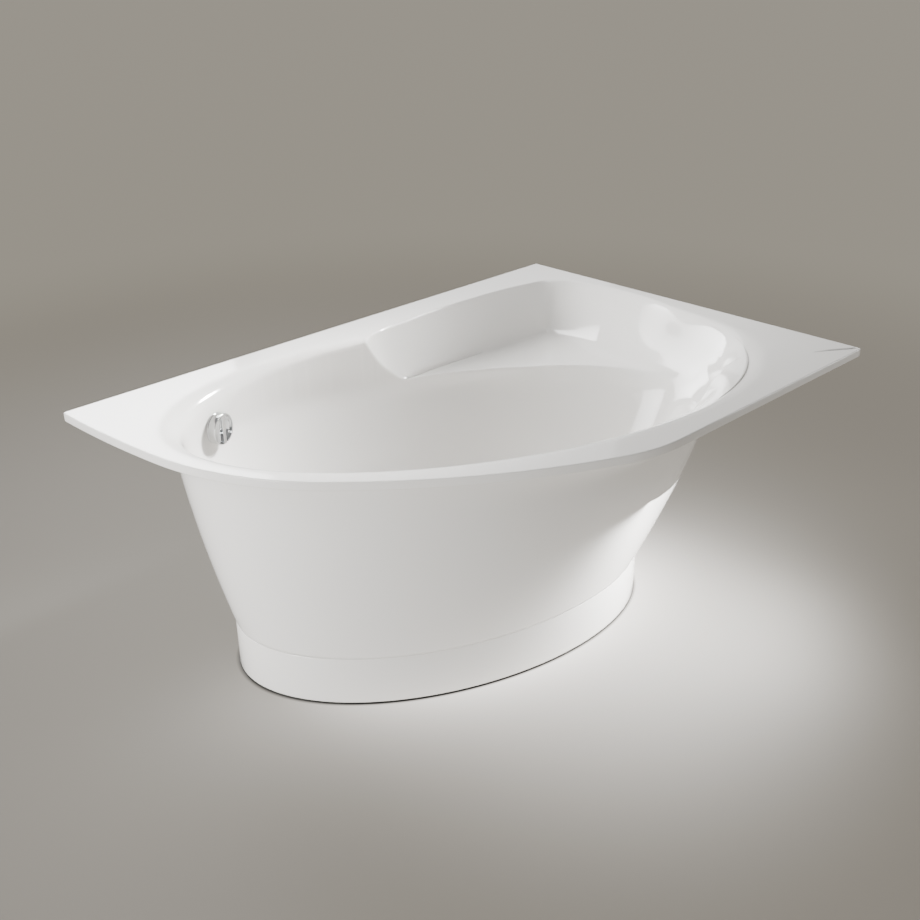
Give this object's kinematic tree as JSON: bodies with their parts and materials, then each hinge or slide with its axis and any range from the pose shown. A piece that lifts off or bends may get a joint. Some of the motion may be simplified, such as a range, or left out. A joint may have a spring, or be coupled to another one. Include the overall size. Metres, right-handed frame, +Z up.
{
  "type": "corner bathtub",
  "caption": "Asymmetric corner bathtub with an oval basin, a corner seat, a wide flat rim, an oval panel on a plinth and a rotary overflow knob.",
  "frame": {"origin": "on the floor under the middle of the rim", "axes": "+X along the long wall side from the foot end to the head end, +Y towards the long wall, +Z up"},
  "size_m": [1.6, 1.08, 0.6],
  "materials": {
    "acrylic": "glossy white sanitary acrylic",
    "fibreboard": "raw particle board",
    "galvanised": "galvanised sheet steel",
    "zinc": "zinc-plated steel",
    "foot_plastic": "moulded nylon",
    "chrome": "polished chrome",
    "seal": "soft rubber",
    "fitting_plastic": "moulded polypropylene",
    "steel": "bright steel"
  },
  "bodies": {
    "tub": {"apron": "acrylic", "base_board": "fibreboard", "drain_flange": "chrome", "foot_nuts": "zinc", "foot_pad_1": "foot_plastic", "foot_pad_2": "foot_plastic", "foot_pad_3": "foot_plastic", "foot_pad_4": "foot_plastic", "foot_rail_foot_end": "galvanised", "foot_rail_head_end": "galvanised", "foot_stud_1": "zinc", "foot_stud_2": "zinc", "foot_stud_3": "zinc", "foot_stud_4": "zinc", "lift_pin": "steel", "outlet_pipe": "fitting_plastic", "overflow_back_seal": "seal", "overflow_body": "fitting_plastic", "overflow_front_seal": "seal", "overflow_pipe": "fitting_plastic", "overflow_rosette": "chrome", "panel_brackets": "galvanised", "panel_clips": "foot_plastic", "panel_screws": "zinc", "plinth": "acrylic", "rim_strip_long": "fibreboard", "rim_strip_short": "fibreboard", "trap_body": "fitting_plastic", "trap_nut": "fitting_plastic", "tub_shell": "acrylic", "wall_angles": "galvanised", "waste_body": "fitting_plastic", "waste_seal": "seal"},
    "knob": {"overflow_knob": "chrome", "overflow_spindle": "steel"},
    "plug": {"drain_plug": "chrome", "plug_seal": "seal"},
    "lever": {"lift_lever": "fitting_plastic"}
  },
  "joints": [
    {"name": "overflow_knob_turn", "type": "hinge", "parent": "tub", "child": "knob", "pos_m": [-0.5066, 0.40217, 0.51], "axis": [0.3551, -0.9346, 0.0212], "range_deg": [0, 90]},
    {"name": "plug_lift", "type": "slide", "parent": "tub", "child": "plug", "axis": [0, 0, 1], "range_m": [0, 0.01]},
    {"name": "lift_lever_tip", "type": "hinge", "parent": "tub", "child": "lever", "pos_m": [-0.41324, 0.13336, 0.1127], "axis": [-0.9439, -0.3301, 0], "range_deg": [0, 24.4]}
  ],
  "couplings": [
    {"joint": "plug_lift", "follows": "overflow_knob_turn", "m_per_rad": 0.0063344},
    {"joint": "lift_lever_tip", "follows": "overflow_knob_turn", "ratio": 0.27}
  ]
}
